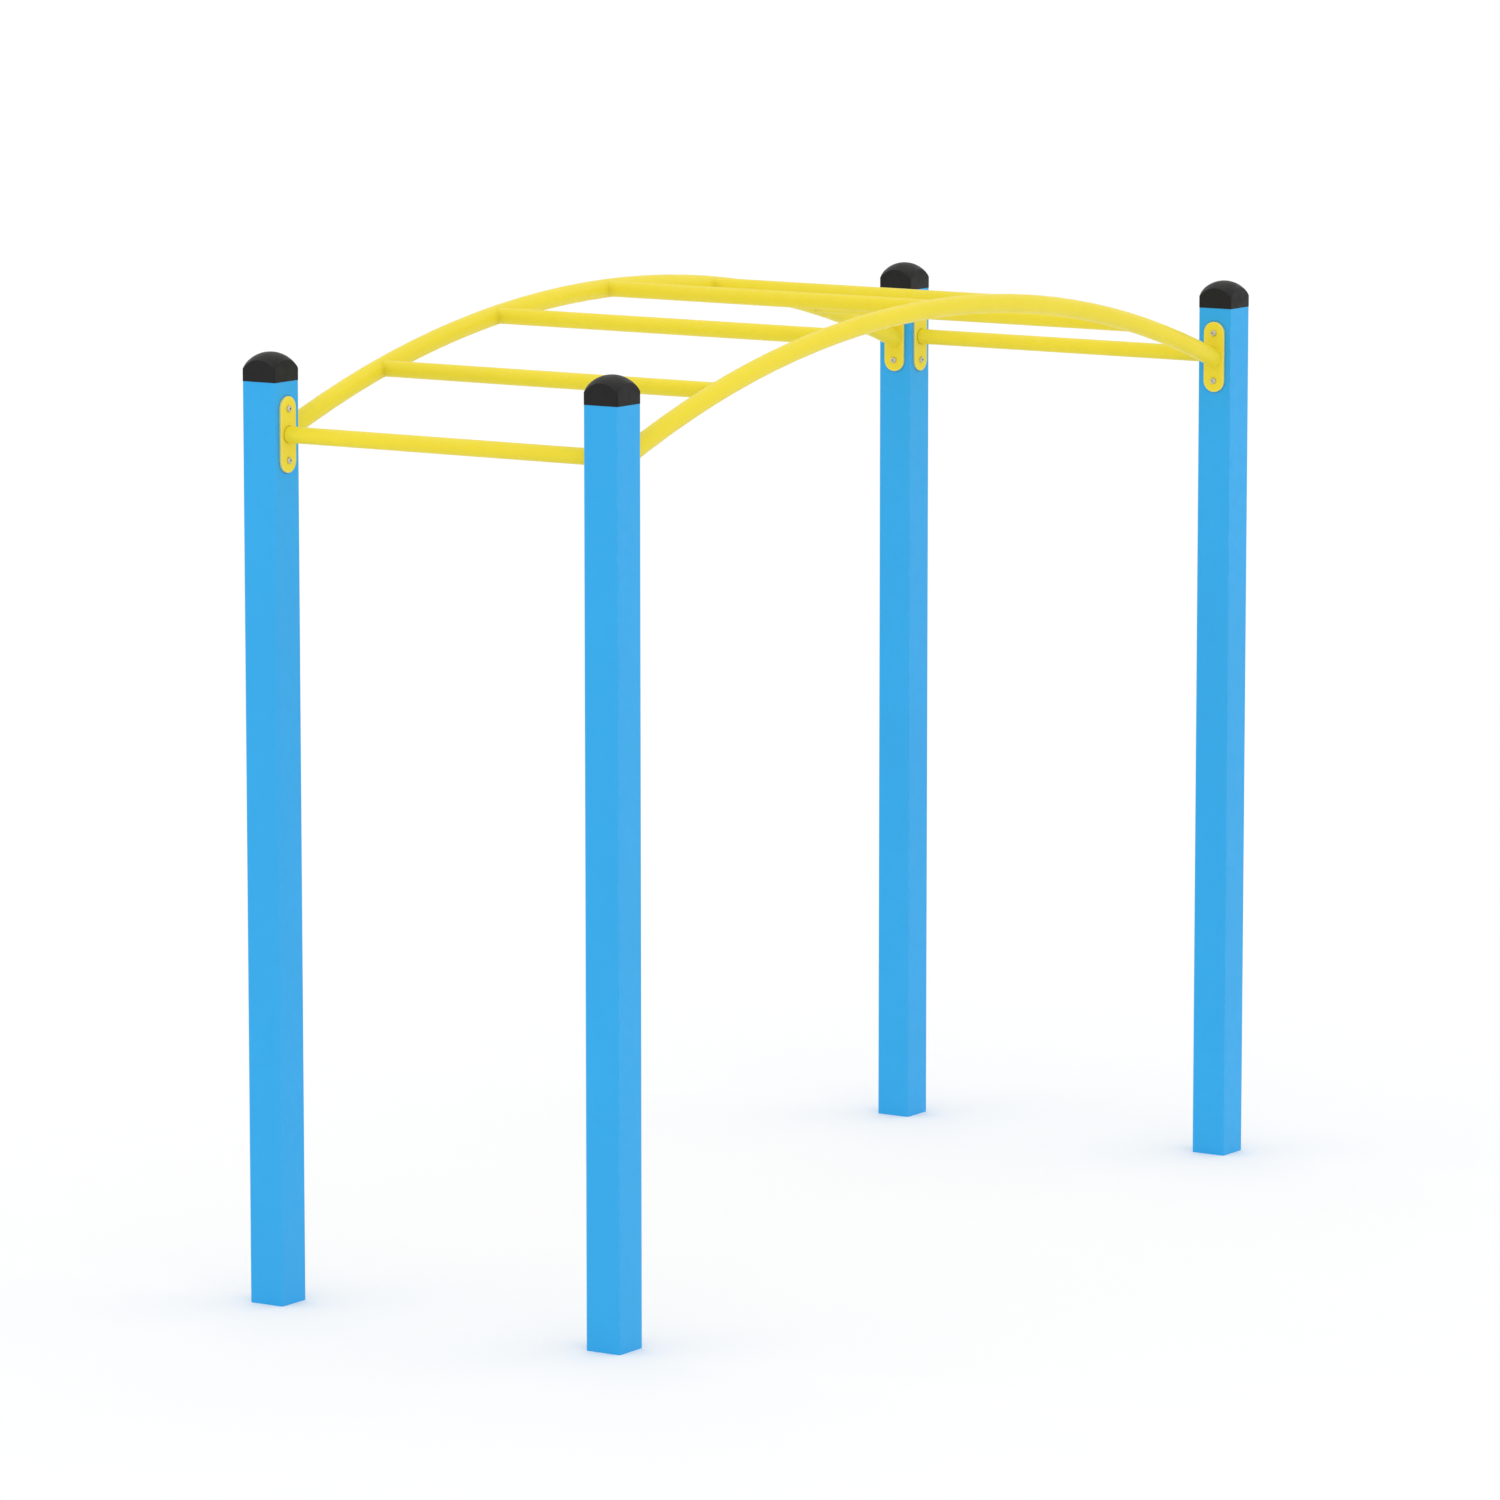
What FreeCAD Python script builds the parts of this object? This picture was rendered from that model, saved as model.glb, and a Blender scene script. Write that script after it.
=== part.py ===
import FreeCAD, Part

import math
import os

import Sketcher

# Arched overhead ladder: four square posts carry two arched rails, five rungs and two end bars.
# Millimetres, +Z up. The origin is on the ground, midway between the four posts.
# The ladder runs along X: "front" is -X, "back" is +X, "left" is +Y and "right" is -Y.

NODE_NAME_LIMIT = 60

# Every size that can be set by itself. Each becomes a cell of the sheet, under the same name.
SIZES = (
    ("post_spacing_length", 2415),      # post centres, along the ladder
    ("post_spacing_width", 830),        # post centres, across the ladder
    ("post_length", 1895),
    ("post_width", 80),
    ("post_wall", 3),
    ("post_corner_radius", 1.5),
    ("post_bore_radius", 1),            # corner radius inside the tube
    ("joint_drop", 107),                # from the top of the post down to each flange's centre
    ("rail_offset", 2),                 # how far below that the rail's centre line meets the flange
    ("arch_radius", 3450),              # bend radius of the rails, to the tube's centre
    ("rail_diameter", 40),
    ("rail_wall", 3),
    ("rung_diameter", 33.7),
    ("rung_wall", 2.6),
    ("rung_spacing", 413),              # measured level, from rung centre to rung centre
    ("end_bar_diameter", 33.7),
    ("end_bar_wall", 2.6),
    ("cope_gap", 0.2),                  # root gap of the weld between a coped rung and its rail
    ("flange_width", 50),
    ("flange_length", 155),
    ("flange_thickness", 5),
    ("flange_edge_radius", 1),          # on the outer face's rim
    ("bolt_spacing", 105),
    ("thread_diameter", 8),
    ("thread_clearance", 0.1),          # on the diameter, between screw and rivet nut
    ("bolt_hole_clearance", 1),         # on the diameter, between screw and flange
    ("screw_length", 20),
    ("screw_head_diameter", 14),
    ("screw_head_height", 4.4),
    ("screw_head_rounding", 3.4),
    ("socket_across_flats", 5),
    ("socket_depth", 2.6),
    ("nut_length", 17.5),
    ("nut_body_diameter", 11),
    ("nut_head_diameter", 13.4),
    ("nut_collar_diameter", 14.6),      # the bulge that grips the post wall from inside
    ("nut_collar_length", 3.6),
    ("nut_hole_clearance", 0.1),        # on the diameter, between rivet nut and post
    ("cap_overhang", 0.5),              # how far the cap stands proud of each post face
    ("cap_height", 58.5),
    ("cap_corner_height", 23),          # where the dome would meet the square's sharp corners
    ("cap_wall", 3),
    ("cap_ridge_radius", 1.5),          # where the dome meets the flat sides
    ("cap_cavity_radius", 2),
    ("cap_web", 2.2),
    ("skirt_depth", 30),
    ("skirt_wall", 2.4),
    ("skirt_clearance", 1.2),           # on each side, between the skirt and the post
    ("fin_clearance", 0.1),             # on each side, between the skirt's fins and the post
    ("fin_thickness", 1.4),
    ("fin_pitch", 8),
)

RUNG_STATIONS = (-2, -1, 0, 1, 2)       # in rung spacings from the crown of the arch
FIN_LEVELS = (1, 2, 3)                  # in fin pitches below the rim of the cap
OVERCUT = 1                             # how far a cutting shape runs past the face it opens

# Posts by name, with the side of the origin that each stands on along X and Y, and the quarter
# turn about Z that makes its two drilled faces look inwards.
POSTS = (
    ("front_left", -1, 1, -90),
    ("front_right", -1, -1, 0),
    ("back_left", 1, 1, 180),
    ("back_right", 1, -1, 90),
)

Z_AXIS = FreeCAD.Vector(0, 0, 1)

# Sizes that several pieces share, written with the sheet's names.
POST_BORE = "(sizes.post_width - 2 * sizes.post_wall)"
JOINT_HEIGHT = "(sizes.post_length - sizes.joint_drop)"
HALF_CHORD = "(sizes.post_spacing_length / 2 - sizes.post_width / 2 - sizes.flange_thickness)"
ARCH_CENTRE_HEIGHT = (
    "(" + JOINT_HEIGHT + " - sizes.rail_offset"
    " - sqrt(pow(sizes.arch_radius; 2) - pow(" + HALF_CHORD + "; 2)))"
)
CAP_WIDTH = "(sizes.post_width + 2 * sizes.cap_overhang)"
# The dome is a sphere through its crown and the four sharp corners of the cap.
DOME_DROP = "(sizes.cap_height - sizes.cap_corner_height)"
DOME_RADIUS = "((pow(" + CAP_WIDTH + "; 2) / 2 + pow(" + DOME_DROP + "; 2)) / (2 * " + DOME_DROP + "))"

doc = FreeCAD.newDocument("arched_ladder")
sheet = doc.addObject("Spreadsheet::Sheet", "sizes")
for row, (alias, value) in enumerate(SIZES, start=1):
    sheet.set("A%d" % row, str(value))
    sheet.setAlias("A%d" % row, alias)
doc.recompute()

sub_parts = []


# ---------------------------------------------------------------- helpers

def size(alias):
    return float(sheet.get(alias))


def bind(item, expressions):
    for path, expression in expressions.items():
        item.setExpression(path, expression)


def place_part(item, place, turn=0):
    """Puts a sub-part at a place bound to the sheet, turned about Z."""
    item.Placement = FreeCAD.Placement(FreeCAD.Vector(), FreeCAD.Rotation(Z_AXIS, turn))
    for letter, expression in zip("xyz", place):
        item.setExpression("Placement.Base." + letter, expression)


def finish_part(item, name, solids=1):
    """Labels a finished sub-part and keeps it for export, with the number of solids it holds."""
    item.Label = name
    sub_parts.append((item, solids))


def origin_item(body, role):
    """An origin plane or axis of a body, by its role, such as XY_Plane or Y_Axis."""
    return next(item for item in body.Origin.OriginFeatures if item.Role == role)


def new_sketch(body, role, name, lift="0"):
    """A sketch on an origin plane of the body, lifted off that plane along its normal."""
    sketch = body.newObject("Sketcher::SketchObject", body.Name + "_" + name)
    sketch.AttachmentSupport = (origin_item(body, role), [""])
    sketch.MapMode = "FlatFace"
    sketch.setExpression("AttachmentOffset.Base.z", lift)
    return sketch


def dimension(sketch, kind, elements, expression, start):
    """A dimensional constraint that the sheet drives."""
    index = sketch.addConstraint(Sketcher.Constraint(kind, *elements, start))
    sketch.setExpression("Constraints[%d]" % index, expression)


def add_circle(sketch, across, up, diameter):
    """A circle whose centre is on the sketch's vertical axis where across is None."""
    circle = sketch.addGeometry(Part.Circle(FreeCAD.Vector(1, 1, 0), Z_AXIS, 1))
    if across is None:
        sketch.addConstraint(Sketcher.Constraint("PointOnObject", circle, 3, -2))
    else:
        dimension(sketch, "DistanceX", (-1, 1, circle, 3), across, 1)
    dimension(sketch, "DistanceY", (-1, 1, circle, 3), up, 1)
    dimension(sketch, "Diameter", (circle,), diameter, 2)


def add_outline(sketch, corners):
    """A closed outline of straight lines. Each corner is (across, up), both sheet expressions."""
    count = len(corners)
    lines = []
    for index in range(count):
        start = FreeCAD.Vector(index, index % 3, 0)
        end = FreeCAD.Vector((index + 1) % count, (index + 1) % 3, 0)
        lines.append(sketch.addGeometry(Part.LineSegment(start, end + FreeCAD.Vector(0.5, 0.5, 0))))
    for index, (across, up) in enumerate(corners):
        previous = lines[index - 1]
        sketch.addConstraint(Sketcher.Constraint("Coincident", previous, 2, lines[index], 1))
        dimension(sketch, "DistanceX", (-1, 1, lines[index], 1), across, index + 1)
        dimension(sketch, "DistanceY", (-1, 1, lines[index], 1), up, index + 1)


def add_square(sketch, width):
    """A square centred on the sketch's origin."""
    half = "(" + width + ") / 2"
    add_outline(sketch, (
        ("-" + half, "-" + half),
        (half, "-" + half),
        (half, half),
        ("-" + half, half),
    ))


def add_feature(body, kind, name, profile, **settings):
    feature = body.newObject("PartDesign::" + kind, body.Name + "_" + name)
    feature.Profile = profile
    for key, value in settings.items():
        setattr(feature, key, value)
    return feature


def check_removed(body, before, name):
    """A cut that points away from its solid removes nothing, so the volume has to fall."""
    doc.recompute()
    if not body.Shape.Volume < before - 1:
        raise RuntimeError("%s: %s cut nothing" % (body.Name, name))


def upright_edges(shape, reach):
    """Names of the straight edges along Z that are that far out along both X and Y."""
    names = []
    for index, edge in enumerate(shape.Edges, start=1):
        first, last = edge.Vertexes[0].Point, edge.Vertexes[-1].Point
        along = (last - first).cross(Z_AXIS).Length < 1e-6
        if along and abs(abs(first.x) - reach) < 1e-3 and abs(abs(first.y) - reach) < 1e-3:
            names.append("Edge%d" % index)
    return names


def round_corners(body, name, base, width, radius):
    """Fillets the four upright edges of a square of that width."""
    doc.recompute()
    fillet = body.newObject("PartDesign::Fillet", body.Name + "_" + name)
    fillet.Base = (base, upright_edges(base.Shape, width / 2))
    fillet.setExpression("Radius", radius)
    doc.recompute()
    return fillet


# ---------------------------------------------------------------- posts and their caps

def make_post(side, along, across, turn):
    """Square tube, open at both ends, drilled and countersunk for rivet nuts in two faces."""
    body = doc.addObject("PartDesign::Body", "post_" + side)
    outside = new_sketch(body, "XY_Plane", "outside")
    add_square(outside, "sizes.post_width")
    bar = add_feature(body, "Pad", "bar", outside)
    bar.setExpression("Length", "sizes.post_length")
    round_corners(body, "outer_corners", bar, size("post_width"), "sizes.post_corner_radius")

    inside = new_sketch(body, "XY_Plane", "inside")
    add_square(inside, POST_BORE)
    before = body.Shape.Volume
    hollow = add_feature(body, "Pocket", "hollow", inside, Type="ThroughAll", Reversed=True)
    check_removed(body, before, "hollow")
    bore_width = size("post_width") - 2 * size("post_wall")
    round_corners(body, "inner_corners", hollow, bore_width, "sizes.post_bore_radius")

    # The sketch of the +Y face lies on XZ, whose normal is -Y, so it is lifted backwards.
    for face, plane, lift, reverse in (
        ("x_face", "YZ_Plane", "sizes.post_width / 2", False),
        ("y_face", "XZ_Plane", "-sizes.post_width / 2", True),
    ):
        centres = new_sketch(body, plane, face + "_centres", lift)
        for sign in "+-":
            up = JOINT_HEIGHT + sign + " sizes.bolt_spacing / 2"
            add_circle(centres, None, up, "sizes.nut_body_diameter")
        before = body.Shape.Volume
        doc.recompute()
        holes = body.newObject("PartDesign::Hole", body.Name + "_" + face + "_holes")
        holes.Profile = centres
        holes.Reversed = reverse
        holes.DepthType = "Dimension"
        holes.DrillPoint = "Flat"
        holes.HoleCutType = "Countersink"
        holes.HoleCutCustomValues = True
        holes.HoleCutCountersinkAngle = 90
        bind(holes, {
            "Depth": "2 * sizes.post_wall",
            "Diameter": "sizes.nut_body_diameter + sizes.nut_hole_clearance",
            "HoleCutDiameter": "sizes.nut_head_diameter + sizes.nut_hole_clearance",
        })
        check_removed(body, before, face + " holes")

    place_part(body, (
        "%d * sizes.post_spacing_length / 2" % along,
        "%d * sizes.post_spacing_width / 2" % across,
        "0",
    ), turn)
    finish_part(body, "post_" + side)


def centred_box(name, width, low, high):
    """A square box centred on Z, from one height to another."""
    box = doc.addObject("Part::Box", name)
    bind(box, {
        "Length": width,
        "Width": width,
        "Height": "(" + high + ") - (" + low + ")",
        "Placement.Base.x": "-(" + width + ") / 2",
        "Placement.Base.y": "-(" + width + ") / 2",
        "Placement.Base.z": low,
    })
    return box


def rounded_box(name, width, low, high, radius):
    """The same box with rounded upright edges."""
    box = centred_box(name + "_block", width, low, high)
    doc.recompute()
    reach = box.Shape.BoundBox.XMax
    numbers = [int(edge[len("Edge"):]) for edge in upright_edges(box.Shape, reach)]
    rounded = doc.addObject("Part::Fillet", name)
    rounded.Base = box
    rounded.Edges = [(number, radius, radius) for number in numbers]
    return rounded


def boolean(kind, name, base, tool):
    item = doc.addObject("Part::" + kind, name)
    item.Base = base
    item.Tool = tool
    return item


def dome(name, width, inset, low, corner):
    """A rounded square prism whose top is the cap's sphere, drawn inwards by an inset."""
    prism = rounded_box(name + "_prism", width, low, "sizes.cap_height", corner)
    ball = doc.addObject("Part::Sphere", name + "_ball")
    bind(ball, {
        "Radius": DOME_RADIUS + " - " + inset,
        "Placement.Base.z": "sizes.cap_height - " + DOME_RADIUS,
    })
    return boolean("Common", name, prism, ball)


def softened(head, name):
    """Rounds the ridge between a dome's sphere and the sides below it."""
    doc.recompute()
    sphere = max(head.Shape.Faces, key=lambda face: face.BoundBox.ZMax)
    rounded = doc.addObject("Part::Fillet", name)
    rounded.Base = head
    radius = size("cap_ridge_radius")
    rounded.Edges = [
        (number, radius, radius) for number, edge in enumerate(head.Shape.Edges, start=1)
        if any(edge.isSame(other) for other in sphere.Edges)
    ]
    return rounded


def make_cap(side, along, across):
    """Moulded cap: a domed head on the post's rim, and a finned skirt that plugs into its bore."""
    name = "post_cap_" + side
    corner_radius = size("post_corner_radius") + size("cap_overhang")
    head = softened(dome(name + "_sharp_head", CAP_WIDTH, "0", "0", corner_radius), name + "_head")
    skirt_width = POST_BORE + " - 2 * sizes.skirt_clearance"
    skirt = centred_box(name + "_skirt", skirt_width, "-sizes.skirt_depth", "sizes.cap_wall")
    pieces = [head, skirt]
    for level in FIN_LEVELS:
        top = "-%d * sizes.fin_pitch" % level
        fin_width = POST_BORE + " - 2 * sizes.fin_clearance"
        fin_name = "%s_fin_%d" % (name, level)
        pieces.append(rounded_box(fin_name, fin_width, top + " - sizes.fin_thickness", top,
                                  size("post_bore_radius")))
    solid = doc.addObject("Part::MultiFuse", name + "_solid")
    solid.Shapes = pieces

    cavity_width = skirt_width + " - 2 * sizes.skirt_wall"
    cavity_floor = "-sizes.skirt_depth - %d" % OVERCUT
    cavity = dome(name + "_cavity", cavity_width, "sizes.cap_wall", cavity_floor,
                  size("cap_cavity_radius"))
    webs = doc.addObject("Part::MultiFuse", name + "_webs")
    web_items = []
    for web_turn in (0, 90):
        web = doc.addObject("Part::Box", "%s_web_%d" % (name, web_turn))
        long_side, short_side = ("Length", "Width") if web_turn == 0 else ("Width", "Length")
        long_axis, short_axis = ("x", "y") if web_turn == 0 else ("y", "x")
        bind(web, {
            long_side: CAP_WIDTH,
            short_side: "sizes.cap_web",
            "Height": "sizes.cap_height + sizes.skirt_depth / 2",
            "Placement.Base." + long_axis: "-" + CAP_WIDTH + " / 2",
            "Placement.Base." + short_axis: "-sizes.cap_web / 2",
            "Placement.Base.z": "-sizes.skirt_depth / 2",
        })
        web_items.append(web)
    webs.Shapes = web_items
    chambers = boolean("Cut", name + "_chambers", cavity, webs)
    cap = boolean("Cut", name, solid, chambers)
    place_part(cap, (
        "%d * sizes.post_spacing_length / 2" % along,
        "%d * sizes.post_spacing_width / 2" % across,
        "sizes.post_length",
    ))
    finish_part(cap, name)


# ---------------------------------------------------------------- rails, rungs and end bars

def make_rail(side, across):
    """Round tube bent to an arc about the arch's centre, with both ends sawn upright."""
    body = doc.addObject("PartDesign::Body", "arch_rail_" + side)
    section = new_sketch(body, "YZ_Plane", "section")
    place = "%d * sizes.post_spacing_width / 2" % across
    add_circle(section, place, "sizes.arch_radius", "sizes.rail_diameter")
    add_circle(section, place, "sizes.arch_radius", "sizes.rail_diameter - 2 * sizes.rail_wall")
    bend = add_feature(body, "Revolution", "bend", section, Midplane=True)
    bend.ReferenceAxis = (origin_item(body, "Y_Axis"), [""])
    # The bend runs past the flanges by a few tube diameters, and the saw cuts take that off.
    reach = "(" + HALF_CHORD + " + 2 * sizes.rail_diameter)"
    bend.setExpression("Angle", "2 * asin(" + reach + " / sizes.arch_radius)")
    doc.recompute()

    for end, sign in (("front", "-"), ("back", "")):
        waste = new_sketch(body, "XZ_Plane", end + "_waste")
        near = sign + HALF_CHORD
        far = sign + "(" + HALF_CHORD + " + 4 * sizes.rail_diameter)"
        low = "sizes.arch_radius / 2"
        high = "sizes.arch_radius + sizes.rail_diameter"
        add_outline(waste, ((near, low), (far, low), (far, high), (near, high)))
        before = body.Shape.Volume
        add_feature(body, "Pocket", end + "_saw_cut", waste, Type="ThroughAll", Midplane=True)
        check_removed(body, before, end + " saw cut")

    place_part(body, ("0", "0", ARCH_CENTRE_HEIGHT))
    finish_part(body, "arch_rail_" + side)


def make_rung(number, station):
    """Round tube across the ladder, coped at both ends to the round of the rails."""
    body = doc.addObject("PartDesign::Body", "rung_%d" % number)
    section = new_sketch(body, "XZ_Plane", "section")
    add_circle(section, None, "sizes.arch_radius", "sizes.rung_diameter")
    add_circle(section, None, "sizes.arch_radius", "sizes.rung_diameter - 2 * sizes.rung_wall")
    tube = add_feature(body, "Pad", "tube", section, Midplane=True)
    tube.setExpression("Length", "sizes.post_spacing_width")

    rails = new_sketch(body, "YZ_Plane", "rails")
    for sign in ("", "-"):
        place = sign + "sizes.post_spacing_width / 2"
        add_circle(rails, place, "sizes.arch_radius", "sizes.rail_diameter + 2 * sizes.cope_gap")
    doc.recompute()
    before = body.Shape.Volume
    cope = add_feature(body, "Groove", "copes", rails, Midplane=True)
    cope.ReferenceAxis = (origin_item(body, "Y_Axis"), [""])
    cope.setExpression("Angle", "4 * asin(sizes.rung_diameter / sizes.arch_radius)")
    check_removed(body, before, "copes")

    lean = "asin(%d * sizes.rung_spacing / sizes.arch_radius)" % station
    body.setExpression("Placement", "placement(vector(0; 0; %s); rotation(vector(0; 1; 0); %s))" % (
        ARCH_CENTRE_HEIGHT, lean))
    finish_part(body, "rung_%d" % number)


def make_end_bar(end, along):
    """Straight round tube between the two posts of one end."""
    body = doc.addObject("PartDesign::Body", "end_bar_" + end)
    section = new_sketch(body, "XZ_Plane", "section")
    add_circle(section, None, "0", "sizes.end_bar_diameter")
    add_circle(section, None, "0", "sizes.end_bar_diameter - 2 * sizes.end_bar_wall")
    tube = add_feature(body, "Pad", "tube", section, Midplane=True)
    tube.setExpression(
        "Length", "sizes.post_spacing_width - sizes.post_width - 2 * sizes.flange_thickness")
    place = "%d * sizes.post_spacing_length / 2" % along
    place_part(body, (place, "0", JOINT_HEIGHT))
    finish_part(body, "end_bar_" + end)


# ---------------------------------------------------------------- flanges and their fasteners
# These are drawn with the post's face on the YZ plane and +X pointing out of the face.

def rim_edges(shape, along, half_width):
    """Names of the edges at that distance along X that reach as far from Z as the half width."""
    return [
        "Edge%d" % index for index, edge in enumerate(shape.Edges, start=1)
        if abs(edge.BoundBox.XMin - along) < 1e-3 and abs(edge.BoundBox.XMax - along) < 1e-3
        and max(abs(edge.BoundBox.YMin), abs(edge.BoundBox.YMax)) > half_width - 1e-3
    ]


def make_flange(name, place, turn):
    """Obround steel plate with two holes, welded to the end of a tube."""
    body = doc.addObject("PartDesign::Body", name)
    outline = new_sketch(body, "YZ_Plane", "outline")
    half_straight = "(sizes.flange_length - sizes.flange_width) / 2"
    half_width = size("flange_width") / 2
    centre = (size("flange_length") - size("flange_width")) / 2
    arcs = []
    for middle, start in ((centre, 0), (-centre, math.pi)):
        circle = Part.Circle(FreeCAD.Vector(0, middle, 0), Z_AXIS, half_width)
        arcs.append(outline.addGeometry(Part.ArcOfCircle(circle, start, start + math.pi)))
    upper, lower = arcs
    right = outline.addGeometry(Part.LineSegment(
        FreeCAD.Vector(half_width, -centre, 0), FreeCAD.Vector(half_width, centre, 0)))
    left = outline.addGeometry(Part.LineSegment(
        FreeCAD.Vector(-half_width, centre, 0), FreeCAD.Vector(-half_width, -centre, 0)))
    for first, first_end, second, second_end in (
        (right, 2, upper, 1), (upper, 2, left, 1), (left, 2, lower, 1), (lower, 2, right, 1),
    ):
        outline.addConstraint(Sketcher.Constraint("Tangent", first, first_end, second, second_end))
    outline.addConstraint(Sketcher.Constraint("Vertical", right))
    outline.addConstraint(Sketcher.Constraint("PointOnObject", upper, 3, -2))
    outline.addConstraint(Sketcher.Constraint("Symmetric", upper, 3, lower, 3, -1, 1))
    dimension(outline, "Diameter", (upper,), "sizes.flange_width", 2 * half_width)
    dimension(outline, "DistanceY", (-1, 1, upper, 3), half_straight, centre)
    for sign in ("", "-"):
        add_circle(outline, None, sign + "sizes.bolt_spacing / 2",
                   "sizes.thread_diameter + sizes.bolt_hole_clearance")
    plate = add_feature(body, "Pad", "plate", outline)
    plate.setExpression("Length", "sizes.flange_thickness")
    doc.recompute()
    rim = body.newObject("PartDesign::Fillet", body.Name + "_rim")
    rim.Base = (plate, rim_edges(plate.Shape, size("flange_thickness"), half_width))
    rim.setExpression("Radius", "sizes.flange_edge_radius")
    place_part(body, place, turn)
    finish_part(body, name)


def turned_profile(body, name, corners):
    """Revolves an outline of (along X, radius) about X, level with the upper bolt hole."""
    profile = new_sketch(body, "XY_Plane", name + "_profile", "sizes.bolt_spacing / 2")
    add_outline(profile, corners)
    turned = add_feature(body, "Revolution", name, profile, Angle=360)
    turned.ReferenceAxis = (profile, ["H_Axis"])
    doc.recompute()
    return turned


def round_edges(shape, along, radius):
    """Names of the circular edges of that radius at that distance along X."""
    return [
        "Edge%d" % index for index, edge in enumerate(shape.Edges, start=1)
        if isinstance(edge.Curve, Part.Circle)
        and abs(edge.Curve.Center.x - along) < 1e-3
        and abs(edge.Curve.Radius - radius) < 1e-3
    ]


def mirror_down(body):
    """Repeats the finished upper fastener at the lower bolt hole."""
    lower = body.newObject("PartDesign::Mirrored", body.Name + "_lower")
    lower.TransformMode = "Whole shape"
    lower.MirrorPlane = (origin_item(body, "XY_Plane"), [""])
    body.Tip = lower


def make_screws(name, place, turn):
    """Two button-head socket screws, seated on the flange's outer face."""
    body = doc.addObject("PartDesign::Body", name)
    body.AllowCompound = True
    seat = "sizes.flange_thickness"
    tip = seat + " - sizes.screw_length"
    top = seat + " + sizes.screw_head_height"
    shank = "sizes.thread_diameter / 2"
    head = "sizes.screw_head_diameter / 2"
    turned = turned_profile(body, "turned", (
        (tip, "0"), (tip, shank), (seat, shank), (seat, head), (top, head), (top, "0"),
    ))
    rounding = body.newObject("PartDesign::Fillet", body.Name + "_rounding")
    rounding.Base = (turned, round_edges(
        turned.Shape, size("flange_thickness") + size("screw_head_height"),
        size("screw_head_diameter") / 2))
    rounding.setExpression("Radius", "sizes.screw_head_rounding")
    doc.recompute()

    before = body.Shape.Volume
    socket = body.newObject("PartDesign::SubtractivePrism", body.Name + "_socket")
    socket.Polygon = 6
    socket.AttachmentSupport = (origin_item(body, "YZ_Plane"), [""])
    socket.MapMode = "FlatFace"
    bind(socket, {
        "Circumradius": "sizes.socket_across_flats / sqrt(3)",
        "Height": "sizes.socket_depth",
        "AttachmentOffset.Base.y": "sizes.bolt_spacing / 2",
        "AttachmentOffset.Base.z": top + " - sizes.socket_depth",
    })
    check_removed(body, before, "socket")
    mirror_down(body)
    place_part(body, place, turn)
    finish_part(body, name, solids=2)


def make_rivet_nuts(name, place, turn):
    """Two blind rivet nuts, flush in the post's countersunk holes and bulged behind its wall."""
    body = doc.addObject("PartDesign::Body", name)
    body.AllowCompound = True
    bore = "(sizes.thread_diameter + sizes.thread_clearance) / 2"
    shank = "sizes.nut_body_diameter / 2"
    head = "sizes.nut_head_diameter / 2"
    bulge = "sizes.nut_collar_diameter / 2"
    neck = "-(sizes.nut_head_diameter - sizes.nut_body_diameter) / 2"
    wall = "-sizes.post_wall"
    behind = "-sizes.post_wall - sizes.nut_collar_length"
    tail = "-sizes.nut_length"
    turned_profile(body, "turned", (
        ("0", bore), ("0", head), (neck, shank), (wall, shank), (wall, bulge),
        (behind, shank), (tail, shank), (tail, bore),
    ))
    mirror_down(body)
    place_part(body, place, turn)
    finish_part(body, name, solids=2)


def make_joint(kind, side, along, across):
    """One bolted joint between a post face and a tube: flange, screws and rivet nuts."""
    x_place = "%d * sizes.post_spacing_length / 2" % along
    y_place = "%d * sizes.post_spacing_width / 2" % across
    if kind == "rail":
        x_place = "%d * (sizes.post_spacing_length - sizes.post_width) / 2" % along
        turn = 0 if along < 0 else 180
    else:
        y_place = "%d * (sizes.post_spacing_width - sizes.post_width) / 2" % across
        turn = 90 if across < 0 else -90
    place = (x_place, y_place, JOINT_HEIGHT)
    make_flange("%s_flange_%s" % (kind, side), place, turn)
    make_screws("%s_screws_%s" % (kind, side), place, turn)
    make_rivet_nuts("%s_rivet_nuts_%s" % (kind, side), place, turn)


# ---------------------------------------------------------------- assembly

for side, along, across, turn in POSTS:
    make_post(side, along, across, turn)
    make_cap(side, along, across)
    make_joint("rail", side, along, across)
    make_joint("end_bar", side, along, across)

make_rail("left", 1)
make_rail("right", -1)
for number, station in enumerate(RUNG_STATIONS, start=1):
    make_rung(number, station)
make_end_bar("front", -1)
make_end_bar("back", 1)
doc.recompute()

# ---------------------------------------------------------------- checks and export

for item in doc.Objects:
    if "Invalid" in item.State or "Error" in item.State:
        raise RuntimeError("%s failed: %s" % (item.Label, item.State))

for part, solids in sub_parts:
    if part.Shape.isNull() or not part.Shape.isValid():
        raise RuntimeError("%s has no valid shape" % part.Label)
    if len(part.Shape.Solids) != solids:
        raise RuntimeError("%s has %d solids" % (part.Label, len(part.Shape.Solids)))
    if len(part.Label) >= NODE_NAME_LIMIT:
        raise RuntimeError("%s is too long a name" % part.Label)

os.makedirs("parts", exist_ok=True)
for part, solids in sub_parts:
    part.Shape.exportStep("parts/%s.step" % part.Label)
    print("%s: %d solids, %.0f mm3" % (part.Label, solids, part.Shape.Volume))
print(len(sub_parts), "sub-parts")
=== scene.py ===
import math

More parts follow.
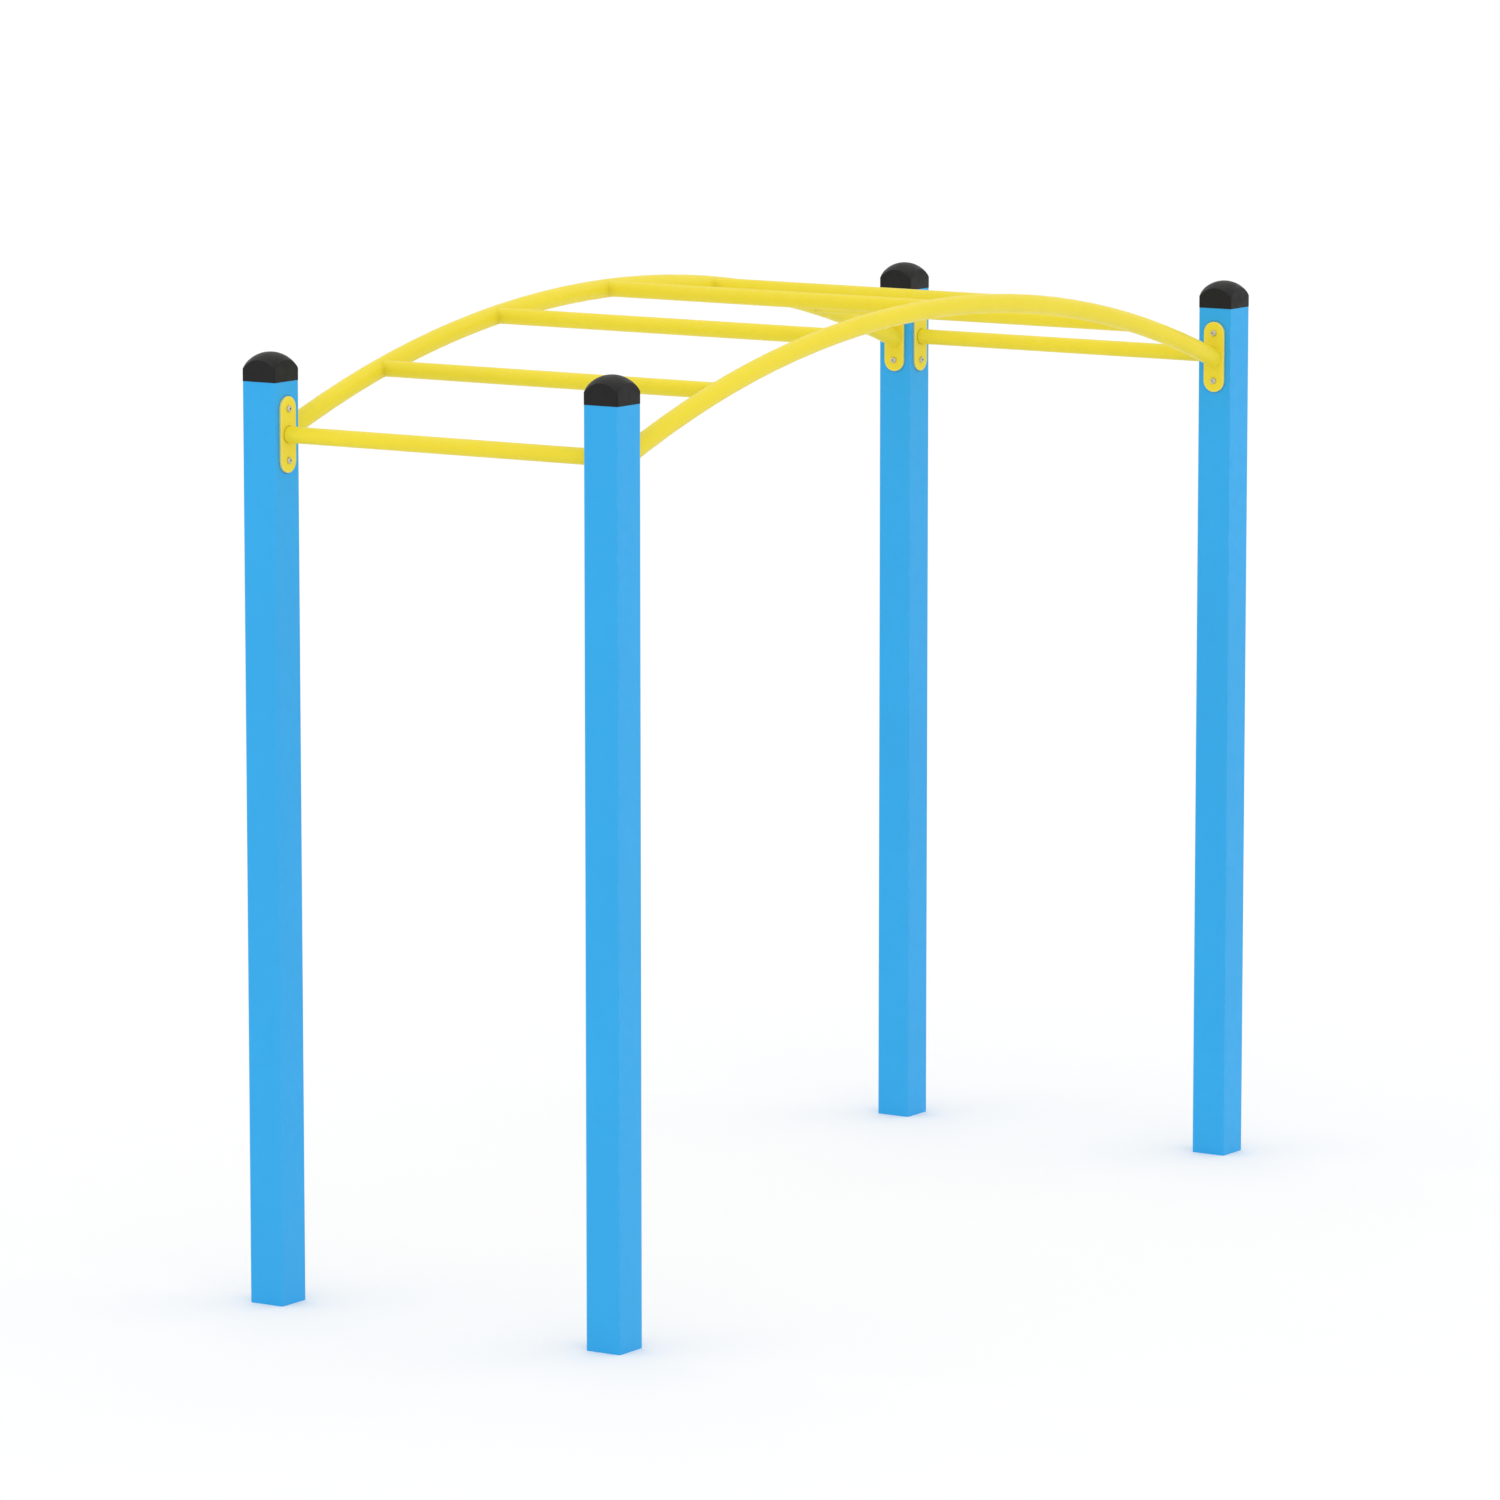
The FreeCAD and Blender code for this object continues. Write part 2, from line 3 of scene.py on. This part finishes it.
import bmesh
import bpy
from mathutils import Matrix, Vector


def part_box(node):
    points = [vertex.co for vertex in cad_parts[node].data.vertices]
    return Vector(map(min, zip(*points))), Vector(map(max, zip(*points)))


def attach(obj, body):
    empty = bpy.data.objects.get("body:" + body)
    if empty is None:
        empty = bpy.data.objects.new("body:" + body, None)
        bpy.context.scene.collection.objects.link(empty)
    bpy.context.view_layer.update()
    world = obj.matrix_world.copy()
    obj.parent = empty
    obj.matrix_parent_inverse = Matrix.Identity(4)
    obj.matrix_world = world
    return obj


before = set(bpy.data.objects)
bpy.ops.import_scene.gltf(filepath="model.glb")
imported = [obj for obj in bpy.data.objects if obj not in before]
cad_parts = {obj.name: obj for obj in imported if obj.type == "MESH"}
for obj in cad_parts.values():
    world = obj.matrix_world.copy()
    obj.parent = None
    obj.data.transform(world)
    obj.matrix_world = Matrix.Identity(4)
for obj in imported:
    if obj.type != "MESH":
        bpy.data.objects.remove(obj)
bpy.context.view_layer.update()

# Looks for an arched overhead ladder. Metres, +Z up, +X along the ladder, +Y towards its left rail.

SIDES = [("front_left", -1, 1), ("front_right", -1, -1), ("back_left", 1, 1), ("back_right", 1, -1)]
RUNGS = ["rung_1", "rung_2", "rung_3", "rung_4", "rung_5"]

BLUE = (0.029, 0.388, 0.800)
YELLOW = (0.835, 0.682, 0.031)
BLACK = (0.0070, 0.0070, 0.0068)
STEEL = (0.60, 0.57, 0.47)
ZINC = (0.55, 0.55, 0.53)
DUST = (0.45, 0.44, 0.42)
FLOOR_TONES = ((0.915, 0.915, 0.915), (0.93, 0.93, 0.93))

# Where the Mix node keeps its two colours and its result.
MIX_FIRST, MIX_SECOND, MIX_RESULT = 6, 7, 2

RUNG_WELD_LEG = 0.0018
PLATE_WELD_LEG = 0.0016
WELD_RIPPLE = 0.0019
STEPS_PER_RIPPLE = 4
STEPS_ACROSS_BEAD = 6
TOE_DEPTH = 0.00012     # how far the bead's edges sink into the tube and the plate
ROOT_DEPTH = 0.0010     # how far its hidden underside does

# How far the marks reach, in metres.
CORNER_BAND = (0.0030, 0.0006)
RIM_BAND = (0.0024, 0.0008)
SEAM_REACH = 0.005
FACE_TOLERANCE = (0.0005, 0.0015)
JOINT_REACH_ON_RUNG = 0.024
JOINT_REACH_ON_RAIL = 0.018
JOINT_SHADE = 0.18       # the most painted shade that a joint's corner gets

FLOOR_HALF_WIDTH = 600
SUN_STRENGTH = 0.35
SUN_WIDTH = 120         # degrees, so that its shadow is very soft
SUN_TILT = (20, -14)

# The camera was fitted to the photograph.
SENSOR_MM, FOCAL_LENGTH_MM = 36, 197.77
CAMERA_AT = (-14.550, -9.406, 3.606)
CAMERA_YAW, CAMERA_PITCH = 33.0105, -8.4744
CAMERA_REACH = 1000


# ---------------------------------------------------------------- shader helpers

class Shader:
    """A material's node tree, with short ways to add and join nodes."""

    def __init__(self, name):
        self.material = bpy.data.materials.new(name)
        self.material.use_nodes = True
        self.tree = self.material.node_tree
        self.tree.nodes.clear()
        output = self.tree.nodes.new("ShaderNodeOutputMaterial")
        self.surface = self.tree.nodes.new("ShaderNodeBsdfPrincipled")
        self.link(self.surface.outputs["BSDF"], output.inputs["Surface"])
        self.place = self.tree.nodes.new("ShaderNodeTexCoord").outputs["Object"]

    def link(self, source, target):
        self.tree.links.new(source, target)

    def feed(self, socket, value):
        """Sets a socket to a number, or joins it to another node's output."""
        if isinstance(value, bpy.types.NodeSocket):
            self.link(value, socket)
        else:
            socket.default_value = value

    def constants(self, **values):
        for name, value in values.items():
            self.surface.inputs[name.replace("_", " ")].default_value = value

    def stretched(self, scale):
        mapping = self.tree.nodes.new("ShaderNodeMapping")
        self.link(self.place, mapping.inputs["Vector"])
        mapping.inputs["Scale"].default_value = scale
        return mapping.outputs["Vector"]

    def noise(self, scale, detail=3.0, roughness=0.55, distortion=0.0, vector=None):
        texture = self.tree.nodes.new("ShaderNodeTexNoise")
        self.link(vector or self.place, texture.inputs["Vector"])
        texture.inputs["Scale"].default_value = scale
        texture.inputs["Detail"].default_value = detail
        texture.inputs["Roughness"].default_value = roughness
        texture.inputs["Distortion"].default_value = distortion
        return texture.outputs["Fac"]

    def cells(self, scale):
        texture = self.tree.nodes.new("ShaderNodeTexVoronoi")
        self.link(self.place, texture.inputs["Vector"])
        texture.inputs["Scale"].default_value = scale
        return texture.outputs["Distance"]

    def axis(self, letter):
        split = self.tree.nodes.new("ShaderNodeSeparateXYZ")
        self.link(self.place, split.inputs["Vector"])
        return split.outputs[letter]

    def upward(self):
        """How far the surface faces up, from -1 to 1."""
        geometry = self.tree.nodes.new("ShaderNodeNewGeometry")
        split = self.tree.nodes.new("ShaderNodeSeparateXYZ")
        self.link(geometry.outputs["Normal"], split.inputs["Vector"])
        return split.outputs["Z"]

    def calc(self, kind, first, second=0.0, third=0.0):
        """One Math node, of the kind that Blender calls its operation."""
        node = self.tree.nodes.new("ShaderNodeMath")
        node.operation = kind
        for socket, value in zip(node.inputs, (first, second, third)):
            self.feed(socket, value)
        return node.outputs["Value"]

    def spread(self, value, low, high, to_low=0.0, to_high=1.0):
        """Maps a value smoothly from one range to another and holds it there."""
        node = self.tree.nodes.new("ShaderNodeMapRange")
        node.interpolation_type = "SMOOTHSTEP"
        self.feed(node.inputs["Value"], value)
        for name, number in (("From Min", low), ("From Max", high),
                             ("To Min", to_low), ("To Max", to_high)):
            node.inputs[name].default_value = number
        return node.outputs["Result"]

    def blend(self, amount, first, second):
        """A colour between two, which are colours or other nodes' outputs."""
        node = self.tree.nodes.new("ShaderNodeMix")
        node.data_type = "RGBA"
        self.feed(node.inputs["Factor"], amount)
        for index, value in ((MIX_FIRST, first), (MIX_SECOND, second)):
            if not isinstance(value, bpy.types.NodeSocket):
                value = (*value, 1.0)
            self.feed(node.inputs[index], value)
        return node.outputs[MIX_RESULT]

    def bump(self, height, strength, distance, below=None):
        node = self.tree.nodes.new("ShaderNodeBump")
        node.inputs["Strength"].default_value = strength
        node.inputs["Distance"].default_value = distance
        self.link(height, node.inputs["Height"])
        if below:
            self.link(below, node.inputs["Normal"])
        return node.outputs["Normal"]

    def finish(self, colour, roughness, normal):
        self.link(colour, self.surface.inputs["Base Color"])
        self.link(roughness, self.surface.inputs["Roughness"])
        self.link(normal, self.surface.inputs["Normal"])
        return self.material


def tint(colour, factor):
    return tuple(min(1.0, channel * factor) for channel in colour)


# ---------------------------------------------------------------- materials

def powder_coat(name, colour, pale_mask=None, painted_shade=None, paleness=0.10, patches=(0.45, 0.62)):
    """Satin powder coat: cloudy tone, orange peel and fine flecks, with a pale mask for wear (on
    plate rims also a painted highlight) and a painted shade mask.

    paleness is how far the pale mask lightens the paint (wear, and on plate rims a painted
    highlight), and patches the range of noise that breaks it up.
    """
    shader = Shader(name)
    cloud = shader.spread(shader.noise(2.2, detail=4), 0.32, 0.68)
    mottle = shader.spread(shader.noise(38, detail=5), 0.35, 0.70)
    paint = shader.blend(cloud, tint(colour, 0.975), tint(colour, 1.02))
    paint = shader.blend(shader.calc("MULTIPLY", mottle, 0.35), paint, tint(colour, 0.96))
    fleck = shader.spread(shader.cells(420), 0.02, 0.12, 1.0, 0.0)
    paint = shader.blend(shader.calc("MULTIPLY", fleck, 0.12), paint, tint(colour, 0.85))

    scuff = shader.noise(1.0, detail=6, roughness=0.7, vector=shader.stretched((55, 55, 260)))
    scuff = shader.spread(scuff, 0.60, 0.74)
    rough = shader.spread(mottle, 0.0, 1.0, 0.36, 0.44)
    rough = shader.calc("MULTIPLY_ADD", scuff, 0.07, rough)
    # The pale mask is wear, and on plate rims also a painted highlight.
    if pale_mask:
        broken = shader.spread(shader.noise(85, 6, 0.7), *patches)
        pale_amount = shader.calc("MULTIPLY", pale_mask(shader), broken)
        pale = tuple(0.7 * channel + 0.3 for channel in tint(colour, 0.95))
        paint = shader.blend(shader.calc("MULTIPLY", pale_amount, paleness), paint, pale)
        rough = shader.calc("MULTIPLY_ADD", pale_amount, 0.10, rough)
    # Painted shade: darkens the paint where the mask marks corners and seams that lie in shade.
    if painted_shade:
        shade_amount = shader.calc("MULTIPLY", painted_shade(shader), 0.55)
        paint = shader.blend(shade_amount, paint, tint(colour, 0.45))

    peel = shader.bump(shader.noise(620, detail=2, roughness=0.4), 0.35, 0.00012)
    waves = shader.bump(shader.noise(95, detail=2, roughness=0.5), 0.25, 0.00025, below=peel)
    shader.constants(Metallic=0.0, Specular_IOR_Level=0.20)
    return shader.finish(paint, rough, waves)


def moulded_plastic(name, colour):
    """Matt moulded plastic with a fine leather grain and a little dust on what faces up."""
    shader = Shader(name)
    cloud = shader.spread(shader.noise(22, detail=5), 0.3, 0.7)
    plastic = shader.blend(cloud, tint(colour, 0.88), tint(colour, 1.16))
    dust = shader.spread(shader.upward(), 0.25, 0.95)
    patchy = shader.spread(shader.noise(160, 5, 0.65), 0.30, 0.75, 0.4, 1.0)
    dust = shader.calc("MULTIPLY", dust, patchy)
    plastic = shader.blend(shader.calc("MULTIPLY", dust, 0.030), plastic, DUST)
    rough = shader.spread(shader.noise(60, detail=4), 0.3, 0.7, 0.46, 0.58)
    grain = shader.bump(shader.cells(1300), 0.30, 0.00010)
    grain = shader.bump(shader.noise(2600, detail=2), 0.20, 0.00005, below=grain)
    shader.constants(Metallic=0.0, Specular_IOR_Level=0.22)
    return shader.finish(plastic, rough, grain)


def plain_steel(name, colour, roughness):
    """Bare or plated steel with fine turning marks, stains and small pits."""
    shader = Shader(name)
    stain = shader.spread(shader.noise(240, detail=5, roughness=0.65), 0.35, 0.70)
    metal = shader.blend(stain, tint(colour, 1.05), tint(colour, 0.80))
    rough = shader.spread(stain, 0.0, 1.0, roughness - 0.05, roughness + 0.10)
    marks = shader.noise(1.0, detail=3, roughness=0.6, vector=shader.stretched((300, 300, 4200)))
    normal = shader.bump(marks, 0.25, 0.00004)
    normal = shader.bump(shader.noise(1900, detail=3), 0.2, 0.00004, below=normal)
    shader.constants(Metallic=1.0)
    return shader.finish(metal, rough, normal)


def corner_wear(low, high):
    """A mask that is 1 on the four upright corners of every post."""
    half_x, half_y = (high.x - low.x) / 2, (high.y - low.y) / 2
    centre_x, centre_y = abs(high.x + low.x) / 2, abs(high.y + low.y) / 2

    def pale_mask(shader):
        masks = []
        for letter, centre, half in (("X", centre_x, half_x), ("Y", centre_y, half_y)):
            off = shader.calc("SUBTRACT", shader.calc("ABSOLUTE", shader.axis(letter)), centre)
            off = shader.calc("ABSOLUTE", off)
            masks.append(shader.spread(off, half - CORNER_BAND[0], half - CORNER_BAND[1]))
        return shader.calc("MULTIPLY", *masks)

    return pale_mask


def from_spine(shader, letter, plate):
    """Distance from the upright line through the middle of the nearest flange plate of one kind."""
    low, high = plate
    index = "XYZ".index(letter)
    half_width = (high[index] - low[index]) / 2
    half_straight = (high.z - low.z) / 2 - half_width
    across = shader.calc("SUBTRACT", shader.calc("ABSOLUTE", shader.axis(letter)),
                        abs(high[index] + low[index]) / 2)
    up = shader.calc("ABSOLUTE", shader.calc("SUBTRACT", shader.axis("Z"), (high.z + low.z) / 2))
    up = shader.calc("MAXIMUM", shader.calc("SUBTRACT", up, half_straight), 0.0)
    squares = shader.calc("MULTIPLY_ADD", up, up, shader.calc("MULTIPLY", across, across))
    return shader.calc("SQRT", squares), half_width


def rim_wear_and_highlight(letter, plate):
    """A mask that is 1 along the rim of a plate, where the coat is thin over the edge and a painted
    highlight marks the light that the edge catches.
    """
    def pale_mask(shader):
        distance, half_width = from_spine(shader, letter, plate)
        return shader.spread(distance, half_width - RIM_BAND[0], half_width - RIM_BAND[1])

    return pale_mask


def painted_seam_shadow(rail_plate, end_plate, post):
    """A painted contact shadow: a mask that is 1 on the posts' inner faces, right beside the flange
    plates bolted to them.
    """
    def painted_shade(shader):
        masks = []
        for letter, facing, plate in (("Y", "X", rail_plate), ("X", "Y", end_plate)):
            distance, half_width = from_spine(shader, letter, plate)
            beside = shader.spread(distance, half_width, half_width + SEAM_REACH, 1.0, 0.0)
            index = "XYZ".index(facing)
            inner_face = min(abs(post[0][index]), abs(post[1][index]))
            off = shader.calc("ABSOLUTE", shader.axis(facing))
            on_face = shader.spread(off, inner_face + FACE_TOLERANCE[0],
                                    inner_face + FACE_TOLERANCE[1], 1.0, 0.0)
            masks.append(shader.calc("MULTIPLY", beside, on_face))
        return shader.calc("MAXIMUM", *masks)

    return painted_shade


def painted_joint_shade(rail, rung, spacing):
    """A faint painted shade in the corners between rungs and rails, on their sides, where the
    corner lies in shade.
    """
    inner_face = min(abs(rail[0].y), abs(rail[1].y))
    rail_radius = (rail[1].y - rail[0].y) / 2
    rung_radius = (rung[1].x - rung[0].x) / 2

    def painted_shade(shader):
        off = shader.calc("ABSOLUTE", shader.axis("Y"))
        outward = shader.spread(off, inner_face - JOINT_REACH_ON_RUNG, inner_face, 0.0, JOINT_SHADE)
        inward = shader.spread(off, inner_face + 0.002, inner_face + rail_radius, 1.0, 0.0)
        from_rung = shader.calc("PINGPONG", shader.calc("ABSOLUTE", shader.axis("X")), spacing / 2)
        near = shader.spread(from_rung, rung_radius, rung_radius + JOINT_REACH_ON_RAIL, 1.0, 0.0)
        side = shader.spread(shader.upward(), 0.25, 0.90, 1.0, 0.0)
        corner = shader.calc("MULTIPLY", outward, inward)
        return shader.calc("MULTIPLY", corner, shader.calc("MULTIPLY", near, side))

    return painted_shade


def grip_wear(half_width):
    """A mask that is 1 on top of the bars, where hands hold them, and fades at the rails."""
    def pale_mask(shader):
        off = shader.calc("ABSOLUTE", shader.axis("Y"))
        middle = shader.spread(off, 0.45 * half_width, 0.85 * half_width, 1.0, 0.0)
        top = shader.spread(shader.upward(), -0.1, 0.8, 0.15, 1.0)
        return shader.calc("MULTIPLY", middle, top)

    return pale_mask


# ---------------------------------------------------------------- weld beads

def add_piece(name, mesh, material):
    piece = bpy.data.objects.new(name, mesh)
    bpy.context.scene.collection.objects.link(piece)
    mesh.materials.append(material)
    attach(piece, "root")
    return piece


def weld_bead(name, loop, leg, material):
    """A closed fillet weld. loop holds (corner, normal of one surface, normal of the other)."""
    count = len(loop)
    mesh = bmesh.new()
    rings = []
    for index, (corner, first, second) in enumerate(loop):
        tangent = (loop[(index + 1) % count][0] - loop[index - 1][0]).normalized()
        along_first = tangent.cross(first).normalized()
        if along_first.dot(second) < 0:
            along_first.negate()
        along_second = tangent.cross(second).normalized()
        if along_second.dot(first) < 0:
            along_second.negate()
        outward = (first + second).normalized()
        phase = (index % STEPS_PER_RIPPLE) / STEPS_PER_RIPPLE
        turn = index * 2 * math.pi / count
        slow = math.sin(5 * turn) + math.sin(9 * turn + 1)
        reach = leg * (1 + 0.05 * slow)
        crown = leg * (0.16 + 0.07 * phase + 0.02 * slow)
        start = corner + along_first * reach - first * TOE_DEPTH
        end = corner + along_second * reach - second * TOE_DEPTH
        ring = []
        for step in range(STEPS_ACROSS_BEAD + 1):
            share = step / STEPS_ACROSS_BEAD
            bulge = outward * crown * 4 * share * (1 - share)
            ring.append(mesh.verts.new(start.lerp(end, share) + bulge))
        ring.append(mesh.verts.new(corner + along_second * reach * 0.5 - second * ROOT_DEPTH))
        ring.append(mesh.verts.new(corner + along_first * reach * 0.5 - first * ROOT_DEPTH))
        rings.append(ring)
    for index, ring in enumerate(rings):
        following = rings[(index + 1) % count]
        for step in range(len(ring)):
            beside = (step + 1) % len(ring)
            mesh.faces.new((ring[step], ring[beside], following[beside], following[step]))
    bmesh.ops.recalc_face_normals(mesh, faces=mesh.faces)
    for face in mesh.faces:
        face.smooth = True
    data = bpy.data.meshes.new(name)
    mesh.to_mesh(data)
    mesh.free()
    return add_piece(name, data, material)


def loop_angles(radius):
    """Angles round a tube, for a whole number of weld ripples."""
    steps = STEPS_PER_RIPPLE * round(2 * math.pi * radius / WELD_RIPPLE)
    return [2 * math.pi * step / steps for step in range(steps)]


def arch_of(node):
    """The rail's arc, from the box of a tube bent upright and sawn upright at both ends."""
    low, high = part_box(node)
    tube = (high.y - low.y) / 2
    half_chord = (high.x - low.x) / 2
    rise = high.z - tube - low.z
    bend = (rise ** 2 + half_chord ** 2 - tube ** 2) / (2 * (rise - tube))
    return {"tube": tube, "y": (high.y + low.y) / 2, "end": half_chord, "bend": bend,
            "centre": high.z - tube - bend}


def weld_rungs(material):
    for side, rail in (("left", "arch_rail_left"), ("right", "arch_rail_right")):
        arch = arch_of(rail)
        inward = -math.copysign(1, arch["y"])
        for rung in RUNGS:
            low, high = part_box(rung)
            bar = (high.x - low.x) / 2
            station = (high.x + low.x) / 2
            lean = math.asin(station / arch["bend"])
            radial = Vector((math.sin(lean), 0, math.cos(lean)))
            forward = Vector((math.cos(lean), 0, -math.sin(lean)))
            axis_point = Vector((0, 0, arch["centre"])) + radial * arch["bend"]
            loop = []
            for angle in loop_angles(bar):
                bar_normal = forward * math.cos(angle) + radial * math.sin(angle)
                point = axis_point + bar_normal * bar
                from_centre = Vector((point.x, 0, point.z - arch["centre"]))
                outside = from_centre.length - arch["bend"]
                across = math.sqrt(max(arch["tube"] ** 2 - outside ** 2, 0))
                point.y = arch["y"] + inward * across
                rail_normal = from_centre.normalized() * outside + Vector((0, inward * across, 0))
                loop.append((point, bar_normal, rail_normal.normalized()))
            weld_bead("weld_%s_%s" % (rung, side), loop, RUNG_WELD_LEG, material)


def weld_rail_ends(material):
    for side, along, across in SIDES:
        arch = arch_of("arch_rail_left" if across > 0 else "arch_rail_right")
        facing = Vector((-along, 0, 0))
        loop = []
        for angle in loop_angles(arch["tube"]):
            offset = arch["tube"] * math.sin(angle)
            lean = math.asin(along * arch["end"] / (arch["bend"] + offset))
            radial = Vector((math.sin(lean), 0, math.cos(lean)))
            point = Vector((0, 0, arch["centre"])) + radial * (arch["bend"] + offset)
            point.y = arch["y"] + arch["tube"] * math.cos(angle)
            normal = radial * math.sin(angle) + Vector((0, math.cos(angle), 0))
            loop.append((point, normal, facing))
        weld_bead("weld_rail_" + side, loop, PLATE_WELD_LEG, material)


def weld_end_bars(material):
    for side, along, across in SIDES:
        low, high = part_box("end_bar_front" if along < 0 else "end_bar_back")
        bar = (high.x - low.x) / 2
        centre = (low + high) / 2
        centre.y = high.y if across > 0 else low.y
        facing = Vector((0, -across, 0))
        loop = []
        for angle in loop_angles(bar):
            normal = Vector((math.cos(angle), 0, math.sin(angle)))
            loop.append((centre + normal * bar, normal, facing))
        weld_bead("weld_end_bar_" + side, loop, PLATE_WELD_LEG, material)


# ---------------------------------------------------------------- looks

post_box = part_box("post_front_left")
rail_plate_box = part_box("rail_flange_front_left")
end_plate_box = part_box("end_bar_flange_front_left")
bar_half_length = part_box("end_bar_front")[1].y
rung_box, next_rung_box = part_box("rung_1"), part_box("rung_2")
# Painted shade in the corners where rungs meet the rails.
joint_shade = painted_joint_shade(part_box("arch_rail_left"), rung_box, next_rung_box[0].x - rung_box[0].x)
# Blue posts: wear on the corners and a painted contact shadow beside the flange plates.
blue_coat = powder_coat("blue_powder_coat", BLUE, corner_wear(*post_box),
                        painted_seam_shadow(rail_plate_box, end_plate_box, post_box))
# The rails carry the painted joint shade.
yellow_coat = powder_coat("yellow_powder_coat", YELLOW, painted_shade=joint_shade)
# Plate rims: paler where the coat is thin over the edge, and a painted highlight along the edge.
rim_wear_and_highlight_settings = {"paleness": 0.55, "patches": (0.25, 0.45)}
rail_plate_coat = powder_coat("yellow_powder_coat_rail_plate", YELLOW,
                              rim_wear_and_highlight("Y", rail_plate_box), **rim_wear_and_highlight_settings)
end_plate_coat = powder_coat("yellow_powder_coat_end_plate", YELLOW,
                             rim_wear_and_highlight("X", end_plate_box), **rim_wear_and_highlight_settings)
# Weld beads: paint darkened by 5% as painted shade in the crease, plus the painted joint shade.
shaded_weld_coat = powder_coat("yellow_powder_coat_weld_painted_shade", tint(YELLOW, 0.95), painted_shade=joint_shade)
# End-bar welds: paint darkened to 60% as a painted contact shadow line where the bar meets its
# plate.
shadow_seam_coat = powder_coat("yellow_powder_coat_painted_shadow_seam", tint(YELLOW, 0.60))
# Rungs and end bars: grip wear on top and the painted joint shade in their corners.
grip_coat = powder_coat("yellow_powder_coat_grip", YELLOW,
                        grip_wear(bar_half_length), joint_shade)
black_plastic = moulded_plastic("black_cap_plastic", BLACK)
screw_steel = plain_steel("stainless_screw", STEEL, 0.30)
nut_steel = plain_steel("zinc_plated_nut", ZINC, 0.38)

LOOKS = (
    ("post_cap_", black_plastic),
    ("post_", blue_coat),
    ("rail_screws_", screw_steel),
    ("end_bar_screws_", screw_steel),
    ("rail_rivet_nuts_", nut_steel),
    ("end_bar_rivet_nuts_", nut_steel),
    ("rail_flange_", rail_plate_coat),
    ("end_bar_flange_", end_plate_coat),
    ("arch_rail_", yellow_coat),
    ("rung_", grip_coat),
    ("end_bar_", grip_coat),
)
for node_name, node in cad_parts.items():
    look = next(material for prefix, material in LOOKS if node_name.startswith(prefix))
    for slot in node.material_slots:
        slot.material = look

weld_rungs(shaded_weld_coat)
weld_rail_ends(shaded_weld_coat)
weld_end_bars(shadow_seam_coat)


# ---------------------------------------------------------------- floor, light and camera

def make_floor():
    half = FLOOR_HALF_WIDTH
    mesh = bpy.data.meshes.new("floor")
    corners = [(-half, -half, 0), (half, -half, 0), (half, half, 0), (-half, half, 0)]
    mesh.from_pydata(corners, [], [(0, 1, 2, 3)])
    floor = bpy.data.objects.new("floor", mesh)
    bpy.context.scene.collection.objects.link(floor)
    shader = Shader("floor")
    tone = shader.blend(shader.noise(0.8, detail=3), *FLOOR_TONES)
    rough = shader.spread(shader.noise(5, detail=3), 0.3, 0.7, 0.85, 0.95)
    normal = shader.bump(shader.noise(60, detail=3), 0.05, 0.0002)
    shader.constants(Specular_IOR_Level=0.1)
    mesh.materials.append(shader.finish(tone, rough, normal))


def make_light():
    world = bpy.data.worlds.new("studio")
    world.use_nodes = True
    background = world.node_tree.nodes["Background"]
    background.inputs["Color"].default_value = (1.0, 1.0, 1.0, 1.0)
    background.inputs["Strength"].default_value = 1.0
    bpy.context.scene.world = world
    sun = bpy.data.lights.new("soft_top_light", "SUN")
    sun.energy = SUN_STRENGTH
    sun.angle = math.radians(SUN_WIDTH)
    lamp = bpy.data.objects.new("soft_top_light", sun)
    lamp.rotation_euler = (math.radians(SUN_TILT[0]), math.radians(SUN_TILT[1]), 0)
    bpy.context.scene.collection.objects.link(lamp)


def make_camera():
    data = bpy.data.cameras.new("camera")
    data.sensor_width = SENSOR_MM
    data.lens = FOCAL_LENGTH_MM
    data.clip_end = CAMERA_REACH
    camera = bpy.data.objects.new("camera", data)
    camera.location = CAMERA_AT
    yaw, pitch = math.radians(CAMERA_YAW), math.radians(CAMERA_PITCH)
    level = math.cos(pitch)
    view = Vector((math.cos(yaw) * level, math.sin(yaw) * level, math.sin(pitch)))
    camera.rotation_mode = "QUATERNION"
    camera.rotation_quaternion = view.to_track_quat("-Z", "Y")
    bpy.context.scene.collection.objects.link(camera)
    bpy.context.scene.camera = camera


make_floor()
make_light()
make_camera()
bpy.context.scene.view_settings.view_transform = "Standard"
